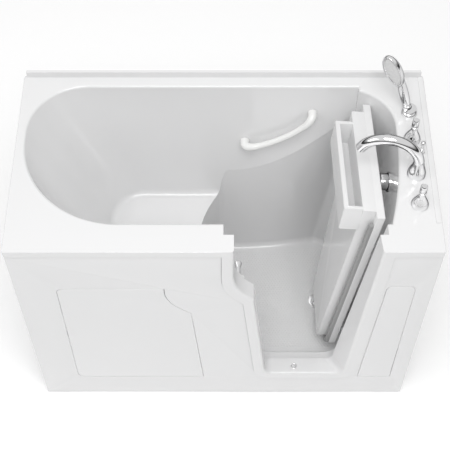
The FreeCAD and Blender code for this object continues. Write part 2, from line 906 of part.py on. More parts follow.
def door_flange():
    body = door_slab(seat_overlap, hinge_overlap, flange_outer_y, wall_y).common(below_deck)
    inner = edges_where(body, lambda e: abs(e.BoundBox.YMin - wall_y) < touch)
    body = body.makeFillet(door_edge_round, inner)
    hollow_edge = -door_gap - door_skin
    hollow = door_slab(hollow_edge, hollow_edge - hinge_leaf_length, flange_outer_y, wall_y - door_skin)
    hollow = hollow.common(block(-tub_length, tub_length, -tub_length, tub_length, 0,
                                 deck_height - door_skin))
    return body.cut(hollow).cut(fused(leaf_screws(hinge_screw_radius, False)))


def door_seal():
    y_from = rebate_y + seal_touch_gap
    strip = door_slab(seal_inset + seal_width, seal_inset + seal_width, y_from, flange_outer_y)
    inside = door_slab(seal_inset, seal_inset, y_from, flange_outer_y)
    top = deck_height - seal_top_drop
    strip = strip.cut(inside)
    strip = strip.common(block(-tub_length, tub_length, -tub_length, tub_length, 0, top))
    face_edges = edges_where(strip, lambda e: abs(e.BoundBox.YMax - y_from) < touch and not level(e, top))
    return strip.makeFillet(seal_round, face_edges)


# Hinges
def hinge_bore(length):
    return rod(hinge_pin_radius + hinge_fit, Vector(0, 0, -length), UP, 2 * length)


def hinge_bracket(drop):
    half = hinge_length / 2
    lug_low = half - hinge_lug_length
    parts = []
    for z_from in (-half, lug_low):
        start = Vector(0, 0, z_from)
        parts.append(rod(hinge_barrel_radius, start, UP, hinge_lug_length))
        parts.append(block(0, hinge_pad_offset, -hinge_barrel_radius, hinge_barrel_radius,
                           z_from, z_from + hinge_lug_length))
    parts.append(block(hinge_pad_offset - hinge_back_plate, hinge_pad_offset, -hinge_barrel_radius,
                       hinge_bracket_reach - hinge_barrel_radius, -half, half))
    bracket = at_hinge(fused(parts).cut(hinge_bore(hinge_length)), drop)
    return bracket.cut(fused(bracket_screw_holes(hinge_screw_radius)))


def hinge_knuckle(drop):
    half = hinge_knuckle_length / 2
    barrel = rod(hinge_barrel_radius, Vector(0, 0, -half), UP, hinge_knuckle_length)
    leaf = block(-hinge_leaf_length, -hinge_pin_radius, -hinge_stand_off,
                 -hinge_stand_off + hinge_leaf_thickness, -half, half)
    knuckle = at_hinge(fused([barrel, leaf]).cut(hinge_bore(hinge_length)), drop)
    return knuckle.cut(fused(leaf_screws(hinge_screw_radius, False)))


def hinge_pin(drop):
    half = hinge_length / 2
    pin = rod(hinge_pin_radius, Vector(0, 0, -half), UP, hinge_length)
    head = rod(hinge_barrel_radius, Vector(0, 0, half), UP, hinge_screw_head_height)
    return at_hinge(fused([pin, head]), drop)


# Turning latch on the inner wall beside the door
def latch_rose():
    rose = rod(latch_rose_radius, latch_point, INWARDS, latch_rose_thickness)
    return rose.cut(rod(latch_spindle_radius + latch_fit, latch_point, INWARDS, latch_rose_thickness))


latch_cam_y = latch_rose_thickness + latch_face_gap
latch_knob_y = latch_cam_y + latch_cam_thickness


def latch_cam():
    back = shell_wall + latch_face_gap
    spindle = rod(latch_spindle_radius, latch_point - INWARDS * back, INWARDS, back + latch_knob_y)
    collar = rod(latch_collar_radius, latch_point - INWARDS * back, -INWARDS, latch_collar_thickness)
    hub = rod(latch_hub_radius, latch_point + INWARDS * latch_cam_y, INWARDS, latch_cam_thickness)
    half = latch_cam_width / 2
    arm = block(-half, half, latch_cam_y, latch_knob_y, 0, latch_cam_reach)
    arm.rotate(Vector(0, 0, 0), INWARDS, latch_turn - 90)
    arm.translate(latch_point)
    return fused([spindle, collar, hub, arm])


def latch_knob():
    start = latch_point + INWARDS * latch_knob_y
    stem = rod(latch_stem_radius, start, INWARDS, latch_stem_length)
    grip = Part.makeCone(latch_stem_radius, latch_knob_radius, latch_knob_length,
                         start + INWARDS * latch_stem_length, INWARDS)
    end = edges_where(grip, lambda e: abs(e.BoundBox.YMin - grip.BoundBox.YMax) < touch)
    return fused([stem, grip.makeFillet(latch_stem_radius / 2, end)])


# Waste and overflow
def drain_flange():
    top = floor_height + drain_flange_thickness
    bottom = floor_height - drain_throat_depth
    ring = fused([upright(drain_flange_radius, drain_x, drain_y, floor_height, top),
                  upright(drain_throat_radius, drain_x, drain_y, bottom, floor_height)])
    ring = ring.cut(upright(drain_bore_radius, drain_x, drain_y, bottom, top))
    hub_top = bottom + drain_rib_height
    hub = upright(drain_hub_radius, drain_x, drain_y, bottom, hub_top)
    reach = (drain_bore_radius + drain_throat_radius) / 2
    half = drain_rib_width / 2
    ribs = [block(drain_x - reach, drain_x + reach, drain_y - half, drain_y + half, bottom, hub_top),
            block(drain_x - half, drain_x + half, drain_y - reach, drain_y + reach, bottom, hub_top)]
    guide = upright(stopper_stem_radius + stopper_fit, drain_x, drain_y, bottom - over_cut, top)
    return fused([ring, hub] + ribs).cut(guide)


def drain_shoe():
    top = floor_height - shell_wall
    body = upright(shoe_radius, drain_x, drain_y, shoe_bottom, top)
    tail = upright(tailpiece_radius, drain_x, drain_y, tailpiece_bottom, shoe_bottom)
    port = rod(tailpiece_radius, Vector(drain_x, drain_y, waste_pipe_height), Vector(1, 0, 0),
               shoe_radius + tailpiece_radius)
    seat = upright(drain_throat_radius + drain_fit, drain_x, drain_y,
                   floor_height - drain_throat_depth - drain_fit, top)
    bore = upright(waste_bore_radius, drain_x, drain_y, tailpiece_bottom, top)
    side = rod(waste_bore_radius, Vector(drain_x, drain_y, waste_pipe_height), Vector(1, 0, 0),
               2 * shoe_radius)
    return fused([body, tail, port]).cut(fused([seat, bore, side]))


def drain_stopper():
    bottom = floor_height + drain_flange_thickness + seal_touch_gap
    cap = upright(stopper_radius, drain_x, drain_y, bottom, bottom + stopper_thickness)
    rim = edges_where(cap, lambda e: level(e, bottom + stopper_thickness) and e.Length > stopper_radius)
    cap = cap.makeFillet(stopper_thickness * 0.7, rim)
    stem = upright(stopper_stem_radius, drain_x, drain_y,
                   floor_height - drain_throat_depth - stopper_thickness, bottom)
    return fused([cap, stem])


def overflow_plate():
    start = overflow_point - end_wall_normal * shell_wall
    plate = rod(overflow_plate_radius, start, end_wall_normal, shell_wall + overflow_plate_thickness)
    face = overflow_point + end_wall_normal * overflow_plate_thickness
    plate = plate.common(well_void)
    edge = edges_where(plate, lambda e: (e.CenterOfMass - face).Length < touch)
    plate = plate.makeFillet(overflow_plate_thickness / 3, edge)
    hole = rod(overflow_spindle_radius + stopper_fit, start, end_wall_normal, 4 * shell_wall)
    return plate.cut(hole)


def overflow_knob():
    start = overflow_point + end_wall_normal * (overflow_plate_thickness + latch_face_gap)
    grip = rod(overflow_knob_radius, start, end_wall_normal, overflow_knob_thickness)
    face = start + end_wall_normal * overflow_knob_thickness
    edge = edges_where(grip, lambda e: (e.CenterOfMass - face).Length < touch)
    grip = grip.makeFillet(overflow_plate_thickness / 2, edge)
    side = end_wall_normal.cross(Vector(0, 1, 0))
    finger = rod(overflow_spindle_radius, start + end_wall_normal * overflow_knob_thickness / 2,
                 side, overflow_knob_radius + overflow_plate_thickness)
    spindle = rod(overflow_spindle_radius, start, -end_wall_normal, 3 * shell_wall)
    return fused([grip, finger, spindle])


def overflow_elbow():
    pipe_top = Vector(overflow_pipe_x, overflow_y, overflow_z)
    reach = overflow_pipe_x - overflow_point.x
    body = rod(overflow_elbow_radius, overflow_point, Vector(1, 0, 0), reach)
    ball = Part.makeSphere(overflow_elbow_radius, pipe_top)
    down = upright(overflow_elbow_radius, overflow_pipe_x, overflow_y,
                   overflow_z - 2 * overflow_elbow_radius, overflow_z)
    hollow = fused([
        rod(waste_bore_radius, overflow_point, Vector(1, 0, 0), reach),
        Part.makeSphere(waste_bore_radius, pipe_top),
        upright(waste_bore_radius, overflow_pipe_x, overflow_y,
                overflow_z - 3 * overflow_elbow_radius, overflow_z)])
    elbow = fused([body, ball, down]).cut(well(shell_wall, above_deck))
    return elbow.cut(hollow)


def overflow_pipe():
    top = overflow_z - 2 * overflow_elbow_radius
    corner = Vector(overflow_pipe_x, overflow_y, waste_pipe_height)
    start_x = drain_x + shoe_radius + tailpiece_radius
    run = overflow_pipe_x - start_x

    def pipe(radius):
        line = Vector(corner.x, drain_y, corner.z)
        return fused([
            upright(radius, overflow_pipe_x, overflow_y, waste_pipe_height, top),
            Part.makeSphere(radius, corner),
            rod(radius, line, Vector(-1, 0, 0), run)])

    return pipe(tailpiece_radius).cut(pipe(waste_bore_radius))


def sill_drain():
    y = front_y + sill_drain_from_front
    top = sill_height + sill_drain_thickness
    cap = upright(sill_drain_radius, sill_drain_x, y, sill_height, top)
    rim = edges_where(cap, lambda e: level(e, top) and e.Length > sill_drain_radius)
    cap = cap.makeFillet(sill_drain_thickness / 2, rim)
    shank = upright(sill_drain_shank_radius, sill_drain_x, y, sill_height - sill_drain_shank_length,
                    sill_height)
    recess = upright(sill_drain_recess_radius, sill_drain_x, y,
                     sill_height - sill_drain_shank_length, top)
    return fused([cap, shank]).cut(recess)


# Grab bar: two flared feet and a bar that sags between them
def grab_bar():
    left_y = back_wall_y(grab_left_z)
    right_y = back_wall_y(grab_right_z)
    start = Vector(grab_left_x, left_y - grab_stand_off, grab_left_z)
    end = Vector(grab_right_x, right_y - grab_stand_off, grab_right_z)
    middle = (start + end) / 2
    across = (end - start).cross(INWARDS)
    across.normalize()
    middle = middle - across * grab_sag
    arc = Part.Arc(start, middle, end)
    path = Part.Wire([arc.toShape()])
    section = Part.Wire([Part.Circle(start, arc.tangent(arc.FirstParameter)[0], grab_radius).toShape()])
    bar = path.makePipeShell([section], True, True)
    feet = []
    for top in (start, end):
        feet.append(Part.makeSphere(grab_radius, top))
        feet.append(rod(grab_radius, top, INWARDS, grab_stand_off))
        flare_start = top + INWARDS * (grab_stand_off - grab_pad_length)
        feet.append(Part.makeCone(grab_radius, grab_pad_radius, grab_pad_length, flare_start, INWARDS))
        feet.append(rod(grab_pad_radius, flare_start + INWARDS * grab_pad_length, INWARDS, shell_wall))
    bar = fused([outward(bar)] + feet).common(bowl_void)
    holes = [rod(grab_stud_radius, Vector(x, back_wall_y(z) - grab_stud_length / 2, z), INWARDS,
                 grab_stud_length) for x, z in grab_studs]
    return bar.cut(fused(holes))


def grab_bar_studs():
    studs = []
    for x, z in grab_studs:
        wall = back_wall_y(z)
        stud = rod(grab_stud_radius, Vector(x, wall - grab_stud_length / 2, z), INWARDS, grab_stud_length)
        nut_start = Vector(x, wall + shell_wall, z)
        nut = rod(grab_nut_radius, nut_start - INWARDS * shell_wall / 2, INWARDS,
                  grab_nut_height + shell_wall / 2)
        studs.append(fused([stud, nut.cut(bowl(shell_wall, above_deck))]))
    return studs


# Taps
def valve(y):
    top = deck_height + shank_rise
    return fused([
        upright(tap_shank_radius, tap_x, y, valve_body_top, top),
        upright(valve_body_radius, tap_x, y, valve_body_bottom, valve_body_top),
        upright(inlet_radius, tap_x, y, valve_body_bottom - inlet_length, valve_body_bottom),
        upright(spindle_radius, tap_x, y, top, top + spindle_length)])


def handle(y):
    neck = handle_bell_height
    collar = handle_neck_radius + handle_edge
    foot = [(0, handle_clear), (handle_base_radius, handle_clear)]
    bell = [(handle_base_radius, handle_edge), (handle_base_radius * 0.8, neck * 0.36),
            (handle_neck_radius * 1.3, neck * 0.72), (handle_neck_radius, neck)]
    knob = [
        (collar, neck + handle_edge / 2), (collar, neck + handle_edge),
        (handle_neck_radius, neck + handle_edge), (handle_knob_radius, neck + 2 * handle_edge),
        (handle_knob_radius, handle_height - handle_edge),
        (handle_knob_radius - handle_edge, handle_height), (0, handle_height)]
    body = swept_round(foot, bell, knob, tap_x, y, deck_height)
    hollow = upright(handle_hollow_radius, tap_x, y, deck_height, deck_height + shank_rise + handle_clear)
    bore = upright(spindle_radius + spindle_fit, tap_x, y, deck_height,
                   deck_height + shank_rise + spindle_length + handle_clear)
    return body.cut(fused([hollow, bore]))


def tap_nuts():
    nuts = []
    for y in (holder_y, hot_y, spout_y, cold_y):
        nut = upright(tap_nut_radius, tap_x, y, deck_under - tap_nut_height, deck_under)
        nuts.append(nut.cut(upright(tap_shank_radius + tap_nut_fit, tap_x, y, 0, deck_height)))
    return nuts


def mixing_pipes():
    height = (valve_body_top + valve_body_bottom) / 2
    spans = ((spout_y + valve_body_radius, hot_y - valve_body_radius),
             (cold_y + valve_body_radius, spout_y - valve_body_radius))
    pipes = []
    for y_from, y_to in spans:
        ends = fused([upright(valve_body_radius, tap_x, y, valve_body_bottom, valve_body_top)
                      for y in (hot_y, spout_y, cold_y)])
        pipe = rod(mixing_pipe_radius, Vector(tap_x, y_from - valve_body_radius, height), INWARDS,
                   y_to - y_from + 2 * valve_body_radius)
        pipes.append(pipe.cut(ends))
    return pipes


def spout_tee():
    body = upright(valve_body_radius, tap_x, spout_y, valve_body_bottom, valve_body_top)
    return body.cut(upright(tap_shank_radius + tap_nut_fit, tap_x, spout_y,
                            valve_body_bottom + shell_wall, deck_height))


def spout():
    def heading(turn):
        return Vector(math.sin(math.radians(turn)), 0, math.cos(math.radians(turn)))

    def bend(start, turn_from, turn_by, radius):
        """Tangent arc in the spout's own upright plane, turning over forwards."""
        right = Vector(math.cos(math.radians(turn_from)), 0, -math.sin(math.radians(turn_from)))
        centre = start + right * radius
        points = []
        for share in (0.5, 1.0):
            turn = math.radians(turn_from + turn_by * share)
            points.append(centre - Vector(math.cos(turn), 0, -math.sin(turn)) * radius)
        return Part.Arc(start, points[0], points[1]).toShape(), points[1]

    foot = Vector(0, 0, 0)
    knee = Vector(0, 0, spout_riser)
    first, crown = bend(knee, 0, spout_first_angle, spout_first_bend)
    second, brow = bend(crown, spout_first_angle, spout_second_angle, spout_second_bend)
    down = heading(spout_first_angle + spout_second_angle)
    tip = brow + down * spout_tip_length
    path = Part.Wire([Part.makeLine(foot, knee), first, second, Part.makeLine(brow, tip)])
    section = Part.Wire([Part.Circle(foot, UP, spout_tube_radius).toShape()])
    tube = outward(path.makePipeShell([section], True, True))
    flare = swept_round([(0, 0), (spout_base_radius, 0)],
                        [(spout_base_radius, handle_edge),
                         (mix(spout_tube_radius, spout_base_radius, 0.45), spout_base_height * 0.5),
                         (spout_tube_radius, spout_base_height)],
                        [(0, spout_base_height)], 0, 0, 0)
    shank = rod(tap_shank_radius, Vector(0, 0, valve_body_bottom + shell_wall - deck_height), UP,
                deck_height - valve_body_bottom - shell_wall)
    bore = rod(spout_bore_radius, tip - down * spout_bore_depth, down, spout_bore_depth + over_cut)
    body = fused([tube, flare, shank]).cut(bore)
    body.rotate(Vector(0, 0, 0), UP, spout_swivel)
    body.translate(Vector(tap_x, spout_y, deck_height))
    return body


def diverter_body():
    collar = upright(diverter_collar_radius + tap_hole_gap * 4, diverter_x, diverter_y, deck_height,
                     deck_height + diverter_collar_height)
    stem = upright(diverter_body_radius, diverter_x, diverter_y, deck_height - diverter_body_length,
                   deck_height)
    bore = upright(diverter_rod_radius + diverter_fit, diverter_x, diverter_y,
                   deck_height - diverter_body_length + shell_wall, above_deck)
    return fused([collar, stem]).cut(bore)


def diverter_pull():
    bottom = deck_height - diverter_body_length / 2
    top = deck_height + diverter_rod_length
    shaft = upright(diverter_rod_radius, diverter_x, diverter_y, bottom, top)
    return fused([shaft, Part.makeSphere(diverter_ball_radius, Vector(diverter_x, diverter_y, top))])


# Hand shower leaning in its deck holder
shower_axis = Vector(-holder_slope_left, holder_slope_back, 1)
shower_axis.normalize()
holder_point = Vector(tap_x, holder_y, deck_height)


def shower_holder():
    ring = swept_round([(0, 0), (holder_radius, 0)],
                       [(holder_radius, handle_edge), (holder_radius * 0.72, holder_height * 0.55),
                        (holder_radius * 0.88, holder_height)],
                       [(0, holder_height)], tap_x, holder_y, deck_height)
    shank = upright(tap_shank_radius, tap_x, holder_y, deck_height - 4 * tap_nut_height, deck_height)
    socket = rod(holder_bore_radius + shower_fit, holder_point + shower_axis * shell_wall, shower_axis,
                 2 * holder_height)
    return fused([ring, shank]).cut(socket)


# Frame of the shower head: along the head, out of its face, and across
shower_foot = holder_point + shower_axis * (shell_wall + shower_fit)
shower_neck = shower_foot + shower_axis * (holder_height + shower_grip_length)
aim = Vector(-1, -shower_aim_slope_front, shower_aim_slope_up)
aim = (aim - shower_axis * aim.dot(shower_axis)).normalize()
head_tilt = FreeCAD.Rotation(shower_axis.cross(aim), shower_head_tilt)
head_along = head_tilt.multVec(shower_axis)
head_out = head_tilt.multVec(aim)
head_across = head_out.cross(head_along)
head_centre = (shower_neck + head_along * (shower_head_length / 2 - shower_neck_radius)
               + head_out * shower_head_forward)


def head_oval(inset, start, depth):
    base = head_centre + head_out * start
    oval = Part.Ellipse(base + head_along * (shower_head_length / 2 - inset),
                        base + head_across * (shower_head_width / 2 - inset), base)
    return outward(Part.Face(Part.Wire([oval.toShape()])).extrude(head_out * depth))


def hand_shower():
    foot = rod(holder_bore_radius, shower_foot, shower_axis, holder_height)
    swell = shower_grip_length * shower_grip_share
    low = shower_foot + shower_axis * holder_height
    stations = [(shower_foot_radius, low), (shower_grip_radius, low + shower_axis * swell),
                (shower_neck_radius, shower_neck),
                (shower_tail_radius, shower_neck + shower_axis * shower_head_length * shower_tail_share)]
    rings = [Part.Wire([Part.Circle(at, shower_axis, radius).toShape()]) for radius, at in stations]
    grip = outward(Part.makeLoft(rings, True, False))
    dome = Part.makeSphere(1.0)
    stretch = FreeCAD.Matrix()
    stretch.scale(shower_head_length / 2, shower_head_width / 2, shower_head_back)
    dome = dome.transformGeometry(stretch)
    dome.Placement = FreeCAD.Placement(head_centre, FreeCAD.Rotation(head_along, head_across, head_out))
    behind = head_oval(-shower_head_back, -2 * shower_head_back, 2 * shower_head_back)
    rim = head_oval(0, 0, shower_rim_depth)
    return fused([foot, grip, dome.common(behind), rim]).cut(shower_face())


def shower_face():
    return head_oval(shower_face_inset, shower_rim_depth - shower_face_thickness, shower_face_thickness)


os.makedirs("parts", exist_ok=True)

save("tub_shell", tub_shell())
save("front_apron", front_apron())
save("left_access_panel", access_panel(left_panel_outline))
save("right_access_panel", access_panel(right_panel_outline))
save("panel_clips", panel_clips())

save("base_rail_front", along_rail(frame_front))
save("base_rail_rear", along_rail(frame_back - tube_side))
save("base_rail_left", cross_rail(frame_left))
save("base_rail_right", cross_rail(frame_right - tube_side))
save("cross_rail_seat", cross_rail(cross_rail_seat_x))
save("cross_rail_well", cross_rail(cross_rail_well_x))
save("leg_front_left", leg(frame_left, frame_front))
save("door_post_left", leg(door_post_left_x, frame_front))
save("door_post_right", leg(door_post_right_x, frame_front))
save("leg_front_right", leg(frame_right - tube_side, frame_front))
save("leg_rear_left", leg(frame_left, frame_back - tube_side))
save("leg_rear_right", leg(frame_right - tube_side, frame_back - tube_side))
save("top_rail_rear", top_rail(frame_left, frame_right, frame_back - tube_side))
save("top_rail_front_left", top_rail(frame_left, door_post_left_x + tube_side, frame_front))
save("top_rail_front_right", top_rail(door_post_right_x, frame_right, frame_front))
save("floor_bearers", floor_bearers())
save("levelling_feet", levelling_feet())
save("foot_locknuts", foot_locknuts())

save("door_plug", opened(door_plug()))
save("door_flange", opened(door_flange()))
save("door_seal", opened(door_seal()))
for place, drop in hinge_drops.items():
    save(place + "_hinge_bracket", hinge_bracket(drop))
    save(place + "_hinge_knuckle", opened(hinge_knuckle(drop)))
    save(place + "_hinge_pin", hinge_pin(drop))
save("hinge_bracket_screws", bracket_screw_holes(hinge_screw_radius))
save("hinge_leaf_screws", [opened(s) for s in leaf_screws(hinge_screw_radius, True)])

save("latch_rose", latch_rose())
save("latch_cam", latch_cam())
save("latch_knob", latch_knob())

save("drain_flange", drain_flange())
save("drain_shoe", drain_shoe())
save("drain_stopper", drain_stopper())
save("overflow_plate", overflow_plate())
save("overflow_knob", overflow_knob())
save("overflow_elbow", overflow_elbow())
save("overflow_pipe", overflow_pipe())
save("sill_drain", sill_drain())

save("grab_bar", grab_bar())
save("grab_bar_studs", grab_bar_studs())

save("hot_valve", valve(hot_y))
save("cold_valve", valve(cold_y))
save("hot_handle", handle(hot_y))
save("cold_handle", handle(cold_y))
save("tap_nuts", tap_nuts())
save("mixing_pipes", mixing_pipes())
save("spout_tee", spout_tee())
save("spout", spout())
save("diverter_body", diverter_body())
save("diverter_pull", diverter_pull())
save("shower_holder", shower_holder())
save("hand_shower", hand_shower())
save("shower_face", shower_face())
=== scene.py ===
import json
import math
import bpy
from mathutils import Matrix, Vector


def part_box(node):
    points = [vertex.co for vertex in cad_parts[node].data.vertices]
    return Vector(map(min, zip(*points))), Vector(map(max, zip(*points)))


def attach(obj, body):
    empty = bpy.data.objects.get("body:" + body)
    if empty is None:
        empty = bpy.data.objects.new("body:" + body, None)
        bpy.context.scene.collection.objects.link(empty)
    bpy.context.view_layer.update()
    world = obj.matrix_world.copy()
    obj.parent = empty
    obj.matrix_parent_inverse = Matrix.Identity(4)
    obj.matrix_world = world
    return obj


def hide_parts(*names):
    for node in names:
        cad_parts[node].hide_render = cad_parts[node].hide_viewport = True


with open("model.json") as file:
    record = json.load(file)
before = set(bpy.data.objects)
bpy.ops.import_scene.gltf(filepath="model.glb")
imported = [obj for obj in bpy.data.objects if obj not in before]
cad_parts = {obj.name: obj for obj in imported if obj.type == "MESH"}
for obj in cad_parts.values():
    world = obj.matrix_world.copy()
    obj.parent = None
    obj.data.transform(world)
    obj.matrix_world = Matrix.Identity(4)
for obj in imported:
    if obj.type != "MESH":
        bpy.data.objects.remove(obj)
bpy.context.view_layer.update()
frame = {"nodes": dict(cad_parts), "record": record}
nodes = frame["nodes"]
print("frame loaded:", len(nodes), "nodes")


# shared node groups

def groupWith(name, inputs, outputs):
    group = bpy.data.node_groups.new(name, "ShaderNodeTree")
    for label, kind, value in inputs:
        socket = group.interface.new_socket(label, in_out="INPUT", socket_type=kind)
        socket.default_value = value
    for label, kind in outputs:
        group.interface.new_socket(label, in_out="OUTPUT", socket_type=kind)
    return group, group.nodes.new("NodeGroupInput"), group.nodes.new("NodeGroupOutput")


def softMottle():
    # slow, faint change of tone and gloss over a surface
    group, start, end = groupWith(
        "softMottle",
        [("Scale", "NodeSocketFloat", 4.0), ("Tone", "NodeSocketColor", (0.9, 0.9, 0.9, 1)),
         ("Shade", "NodeSocketColor", (0.8, 0.8, 0.8, 1)), ("Gloss Low", "NodeSocketFloat", 0.1),
         ("Gloss High", "NodeSocketFloat", 0.2)],
        [("Color", "NodeSocketColor"), ("Roughness", "NodeSocketFloat")])
    tree, links = group.nodes, group.links
    coord = tree.new("ShaderNodeTexCoord")
    noise = tree.new("ShaderNodeTexNoise")
    noise.inputs["Detail"].default_value = 3.0
    mix = tree.new("ShaderNodeMix")
    mix.data_type = "RGBA"
    spread = tree.new("ShaderNodeMapRange")
    spread.inputs["From Min"].default_value = 0.3
    spread.inputs["From Max"].default_value = 0.7
    links.new(coord.outputs["Object"], noise.inputs["Vector"])
    links.new(start.outputs["Scale"], noise.inputs["Scale"])
    links.new(noise.outputs["Fac"], spread.inputs["Value"])
    links.new(start.outputs["Gloss Low"], spread.inputs["To Min"])
    links.new(start.outputs["Gloss High"], spread.inputs["To Max"])
    links.new(noise.outputs["Fac"], mix.inputs["Factor"])
    links.new(start.outputs["Tone"], mix.inputs["A"])
    links.new(start.outputs["Shade"], mix.inputs["B"])
    links.new(mix.outputs["Result"], end.inputs["Color"])
    links.new(spread.outputs["Result"], end.inputs["Roughness"])
    return group


def fineGrain():
    # fine height for a bump, stretched along one way for drawn or brushed metal
    group, start, end = groupWith(
        "fineGrain",
        [("Scale", "NodeSocketFloat", 300.0), ("Stretch", "NodeSocketVector", (1, 1, 1))],
        [("Height", "NodeSocketFloat")])
    tree, links = group.nodes, group.links
    coord = tree.new("ShaderNodeTexCoord")
    mapping = tree.new("ShaderNodeMapping")
    noise = tree.new("ShaderNodeTexNoise")
    noise.inputs["Detail"].default_value = 2.0
    links.new(coord.outputs["Object"], mapping.inputs["Vector"])
    links.new(start.outputs["Stretch"], mapping.inputs["Scale"])
    links.new(mapping.outputs["Vector"], noise.inputs["Vector"])
    links.new(start.outputs["Scale"], noise.inputs["Scale"])
    links.new(noise.outputs["Fac"], end.inputs["Height"])
    return group


mottleGroup = softMottle()
grainGroup = fineGrain()


# finishes

finishes = {
    "gelcoat": dict(tone=(0.80, 0.80, 0.80), shade=(0.785, 0.785, 0.79), mottle=3.0, gloss=(0.10, 0.16),
                    grain=60.0, bump=0.012, metallic=0.0, coat=0.1),
    "chrome": dict(tone=(0.95, 0.95, 0.955), shade=(0.90, 0.90, 0.905), mottle=20.0, gloss=(0.03, 0.07),
                   grain=900.0, bump=0.01, metallic=1.0, coat=0.0, edge=(0.04, 0.04, 0.045)),
    "frame_steel": dict(tone=(0.60, 0.61, 0.62), shade=(0.50, 0.51, 0.52), mottle=9.0, gloss=(0.28, 0.42),
                        grain=260.0, bump=0.10, metallic=1.0, coat=0.0, stretch=(0.06, 1, 1)),
    "hinge_steel": dict(tone=(0.66, 0.67, 0.68), shade=(0.58, 0.59, 0.60), mottle=14.0, gloss=(0.20, 0.32),
                        grain=500.0, bump=0.06, metallic=1.0, coat=0.0),
    "zinc_steel": dict(tone=(0.66, 0.67, 0.66), shade=(0.55, 0.57, 0.57), mottle=40.0, gloss=(0.28, 0.40),
                       grain=600.0, bump=0.08, metallic=1.0, coat=0.0),
    "clip_steel": dict(tone=(0.60, 0.61, 0.63), shade=(0.48, 0.49, 0.52), mottle=30.0, gloss=(0.25, 0.38),
                       grain=500.0, bump=0.06, metallic=1.0, coat=0.0),
    "seal_rubber": dict(tone=(0.36, 0.36, 0.36), shade=(0.30, 0.30, 0.30), mottle=12.0, gloss=(0.42, 0.55),
                        grain=700.0, bump=0.12, metallic=0.0, coat=0.0),
    "bearer_rubber": dict(tone=(0.05, 0.05, 0.05), shade=(0.03, 0.03, 0.03), mottle=30.0, gloss=(0.65, 0.8),
                          grain=500.0, bump=0.25, metallic=0.0, coat=0.0),
    "waste_plastic": dict(tone=(0.80, 0.80, 0.77), shade=(0.74, 0.74, 0.71), mottle=14.0, gloss=(0.38, 0.48),
                          grain=500.0, bump=0.05, metallic=0.0, coat=0.0),
    "grab_white": dict(tone=(0.86, 0.86, 0.85), shade=(0.83, 0.83, 0.82), mottle=12.0, gloss=(0.18, 0.26),
                       grain=300.0, bump=0.02, metallic=0.0, coat=0.2),
    "valve_brass": dict(tone=(0.72, 0.55, 0.26), shade=(0.58, 0.42, 0.18), mottle=40.0, gloss=(0.24, 0.36),
                        grain=500.0, bump=0.08, metallic=1.0, coat=0.0),
    "pipe_copper": dict(tone=(0.74, 0.43, 0.28), shade=(0.60, 0.32, 0.20), mottle=30.0, gloss=(0.22, 0.34),
                        grain=300.0, bump=0.06, metallic=1.0, coat=0.0, stretch=(1, 0.1, 1)),
    "shower_white": dict(tone=(0.82, 0.82, 0.82), shade=(0.76, 0.76, 0.76), mottle=30.0, gloss=(0.30, 0.40),
                         grain=500.0, bump=0.05, metallic=0.0, coat=0.0),
}


def makeFinish(name, look):
    material = bpy.data.materials.new(name)
    material.use_nodes = True
    tree, links = material.node_tree.nodes, material.node_tree.links
    shader = tree["Principled BSDF"]
    shader.inputs["Metallic"].default_value = look["metallic"]
    shader.inputs["Coat Weight"].default_value = look["coat"]
    shader.inputs["Specular Tint"].default_value = (*look.get("edge", (1, 1, 1)), 1)
    mottle = tree.new("ShaderNodeGroup")
    mottle.node_tree = mottleGroup
    mottle.inputs["Scale"].default_value = look["mottle"]
    mottle.inputs["Tone"].default_value = (*look["tone"], 1)
    mottle.inputs["Shade"].default_value = (*look["shade"], 1)
    mottle.inputs["Gloss Low"].default_value = look["gloss"][0]
    mottle.inputs["Gloss High"].default_value = look["gloss"][1]
    grain = tree.new("ShaderNodeGroup")
    grain.node_tree = grainGroup
    grain.inputs["Scale"].default_value = look["grain"]
    grain.inputs["Stretch"].default_value = look.get("stretch", (1, 1, 1))
    bump = tree.new("ShaderNodeBump")
    bump.inputs["Strength"].default_value = look["bump"]
    bump.inputs["Distance"].default_value = 0.001
    links.new(mottle.outputs["Color"], shader.inputs["Base Color"])
    links.new(mottle.outputs["Roughness"], shader.inputs["Roughness"])
    links.new(grain.outputs["Height"], bump.inputs["Height"])
    links.new(bump.outputs["Normal"], shader.inputs["Normal"])
    return material


materials = {name: makeFinish(name, look) for name, look in finishes.items()}
for part in frame["record"]["subparts"]:
    node = nodes[part["node"]]
    for slot in node.material_slots:
        slot.material = materials[part["material_slot"]]
print("finishes made:", len(materials))


# ways of making pieces

meshing = dict(smoothAngle=38, mergeWithin=0.00002, flatAngle=0.6, bevelAngle=35, turnMerge=0.00001,
               smoothShare=0.5)


def pick(piece):
    bpy.ops.object.select_all(action="DESELECT")
    piece.select_set(True)
    bpy.context.view_layer.objects.active = piece


def linked(name, mesh):
    piece = bpy.data.objects.new(name, mesh)
    bpy.context.collection.objects.link(piece)
    pick(piece)
    return piece


def applyModifiers(piece):
    pick(piece)
    for modifier in list(piece.modifiers):
        bpy.ops.object.modifier_apply(modifier=modifier.name)


def settle(piece, body, slot, *stoodFor):
    # sets a finished piece at the origin and gives it its finish, its body and the nodes it stands for
    pick(piece)
    bpy.ops.object.transform_apply(location=True, rotation=True, scale=True)
    bpy.ops.object.shade_smooth_by_angle(angle=math.radians(meshing["smoothAngle"]))
    piece.data.materials.clear()
    piece.data.materials.append(materials[slot])
    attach(piece, body)
    if stoodFor:
        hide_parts(*stoodFor)
    return piece


